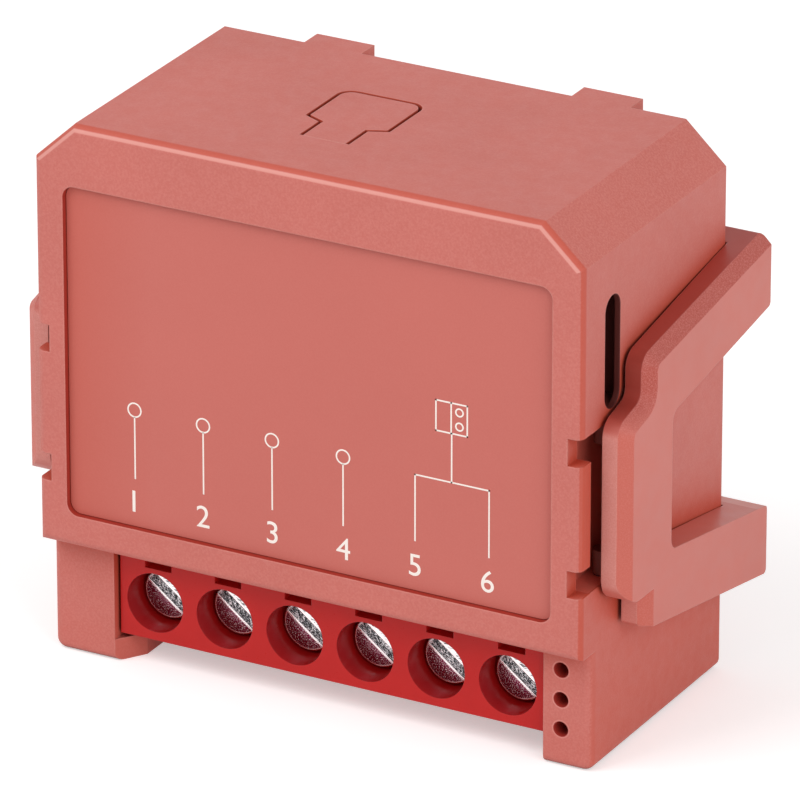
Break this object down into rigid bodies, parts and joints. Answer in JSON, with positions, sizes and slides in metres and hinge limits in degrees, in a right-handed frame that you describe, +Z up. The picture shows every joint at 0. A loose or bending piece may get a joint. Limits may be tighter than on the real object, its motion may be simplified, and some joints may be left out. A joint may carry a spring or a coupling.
{
  "type": "garage door controller",
  "caption": "Small in-wall garage door controller: a coral box with a screw terminal row, side snap clips and a press tongue on top.",
  "frame": {"origin": "middle of the bottom of the whole part, at the level of the feet", "axes": "+X to the right seen from the front, +Y towards the back, +Z up"},
  "size_m": [0.0424, 0.0212, 0.0366],
  "materials": {
    "coral_shell": "fine matte moulded grain",
    "coral_clip": "matte, smoother than the housing",
    "label_coral": "flat matte film with pale print",
    "terminal_red": "semi-gloss moulded",
    "plated_steel": "zinc-plated, turned",
    "nickel_brass": "nickel-plated",
    "tinned_copper": "bright tin",
    "board_green": "solder mask",
    "relay_case": "moulded satin",
    "natural_nylon": "natural nylon",
    "enamelled_copper": "enamelled wire",
    "soft_iron": "nickel-plated iron",
    "contact_bronze": "spring bronze",
    "varistor_blue": "dipped coating",
    "resistor_grey": "flameproof coating",
    "chip_black": "moulding compound",
    "capacitor_sleeve": "shrink sleeve",
    "ferrite": "sintered ferrite",
    "winding_tape": "polyester tape",
    "radio_board_dark": "dark solder mask",
    "nickel_silver": "satin sheet",
    "antenna_gold": "gold-plated trace",
    "lamp_clear": "clear epoxy",
    "passive_ceramic": "ceramic chip"
  },
  "bodies": {
    "module": {"housing": "coral_shell", "rear_cover": "coral_shell", "label_panel": "label_coral", "terminal_housing": "terminal_red", "terminal_contacts": "tinned_copper", "main_board": "board_green", "relay_cover": "relay_case", "relay_base": "relay_case", "relay_bobbin": "natural_nylon", "relay_winding": "enamelled_copper", "relay_core": "soft_iron", "relay_yoke": "soft_iron", "relay_fixed_contacts": "contact_bronze", "relay_pins": "tinned_copper", "varistor": "varistor_blue", "fuse_resistor": "resistor_grey", "bridge_rectifier": "chip_black", "bulk_capacitors": "capacitor_sleeve", "filter_inductor": "ferrite", "converter_chip": "chip_black", "transformer_core": "ferrite", "transformer_bobbin": "natural_nylon", "transformer_winding": "winding_tape", "transformer_pins": "tinned_copper", "output_capacitor": "capacitor_sleeve", "regulator_chip": "chip_black", "radio_board": "radio_board_dark", "radio_shield": "nickel_silver", "radio_antenna": "antenna_gold", "switch_body": "chip_black", "switch_shell": "nickel_silver", "optocoupler": "chip_black", "driver_transistor": "chip_black", "flyback_diode": "chip_black", "status_leds": "lamp_clear", "board_passives": "passive_ceramic"},
    "side_clip_left": {"clip_left": "coral_clip"},
    "side_clip_right": {"clip_right": "coral_clip"},
    "press_tongue": {"button_tongue": "coral_shell"},
    "press_plunger": {"switch_plunger": "natural_nylon"},
    "relay_rocker": {"relay_armature": "soft_iron", "relay_contact_spring": "contact_bronze"},
    "screw_1": {"terminal_screw_1": "plated_steel"},
    "cage_1": {"clamp_cage_1": "nickel_brass"},
    "screw_2": {"terminal_screw_2": "plated_steel"},
    "cage_2": {"clamp_cage_2": "nickel_brass"},
    "screw_3": {"terminal_screw_3": "plated_steel"},
    "cage_3": {"clamp_cage_3": "nickel_brass"},
    "screw_4": {"terminal_screw_4": "plated_steel"},
    "cage_4": {"clamp_cage_4": "nickel_brass"},
    "screw_5": {"terminal_screw_5": "plated_steel"},
    "cage_5": {"clamp_cage_5": "nickel_brass"},
    "screw_6": {"terminal_screw_6": "plated_steel"},
    "cage_6": {"clamp_cage_6": "nickel_brass"}
  },
  "joints": [
    {"name": "clip_right_hinge", "type": "hinge", "parent": "module", "child": "side_clip_right", "pos_m": [0.01833, -0.00637, 0.01762], "axis": [0, 0, -1], "range_deg": [0, 6.9]},
    {"name": "clip_left_hinge", "type": "hinge", "parent": "module", "child": "side_clip_left", "pos_m": [-0.01833, -0.00637, 0.01762], "axis": [0, 0, 1], "range_deg": [0, 6.9]},
    {"name": "tongue_flex", "type": "hinge", "parent": "module", "child": "press_tongue", "pos_m": [-0.0016, -0.00515, 0.0351], "axis": [-1, 0, 0], "range_deg": [0, 2.95]},
    {"name": "switch_press", "type": "slide", "parent": "module", "child": "press_plunger", "axis": [0, 0, -1], "range_m": [0, 0.00025], "stiffness_N_per_m": 400},
    {"name": "relay_pull", "type": "hinge", "parent": "module", "child": "relay_rocker", "pos_m": [-0.01093, -0.00647, 0.0197], "axis": [1, 0, 0], "range_deg": [0, 4.5], "stiffness_Nm_per_rad": 0.018},
    {"name": "screw_1_turn", "type": "hinge", "parent": "module", "child": "screw_1", "pos_m": [-0.01197, -0.00673, 0.00445], "axis": [0, 1, 0], "range_deg": [0, 1081]},
    {"name": "cage_1_rise", "type": "slide", "parent": "module", "child": "cage_1", "axis": [0, -1, 0], "range_m": [0, 0.0015]},
    {"name": "screw_2_turn", "type": "hinge", "parent": "module", "child": "screw_2", "pos_m": [-0.00698, -0.00673, 0.00445], "axis": [0, 1, 0], "range_deg": [0, 1081]},
    {"name": "cage_2_rise", "type": "slide", "parent": "module", "child": "cage_2", "axis": [0, -1, 0], "range_m": [0, 0.0015]},
    {"name": "screw_3_turn", "type": "hinge", "parent": "module", "child": "screw_3", "pos_m": [-0.00198, -0.00673, 0.00445], "axis": [0, 1, 0], "range_deg": [0, 1081]},
    {"name": "cage_3_rise", "type": "slide", "parent": "module", "child": "cage_3", "axis": [0, -1, 0], "range_m": [0, 0.0015]},
    {"name": "screw_4_turn", "type": "hinge", "parent": "module", "child": "screw_4", "pos_m": [0.00302, -0.00673, 0.00445], "axis": [0, 1, 0], "range_deg": [0, 1081]},
    {"name": "cage_4_rise", "type": "slide", "parent": "module", "child": "cage_4", "axis": [0, -1, 0], "range_m": [0, 0.0015]},
    {"name": "screw_5_turn", "type": "hinge", "parent": "module", "child": "screw_5", "pos_m": [0.00802, -0.00673, 0.00445], "axis": [0, 1, 0], "range_deg": [0, 1081]},
    {"name": "cage_5_rise", "type": "slide", "parent": "module", "child": "cage_5", "axis": [0, -1, 0], "range_m": [0, 0.0015]},
    {"name": "screw_6_turn", "type": "hinge", "parent": "module", "child": "screw_6", "pos_m": [0.01303, -0.00673, 0.00445], "axis": [0, 1, 0], "range_deg": [0, 1081]},
    {"name": "cage_6_rise", "type": "slide", "parent": "module", "child": "cage_6", "axis": [0, -1, 0], "range_m": [0, 0.0015]}
  ],
  "couplings": [
    {"joint": "tongue_flex", "follows": "switch_press", "rad_per_m": 205.95},
    {"joint": "screw_1_turn", "follows": "cage_1_rise", "rad_per_m": 12566},
    {"joint": "screw_2_turn", "follows": "cage_2_rise", "rad_per_m": 12566},
    {"joint": "screw_3_turn", "follows": "cage_3_rise", "rad_per_m": 12566},
    {"joint": "screw_4_turn", "follows": "cage_4_rise", "rad_per_m": 12566},
    {"joint": "screw_5_turn", "follows": "cage_5_rise", "rad_per_m": 12566},
    {"joint": "screw_6_turn", "follows": "cage_6_rise", "rad_per_m": 12566}
  ]
}
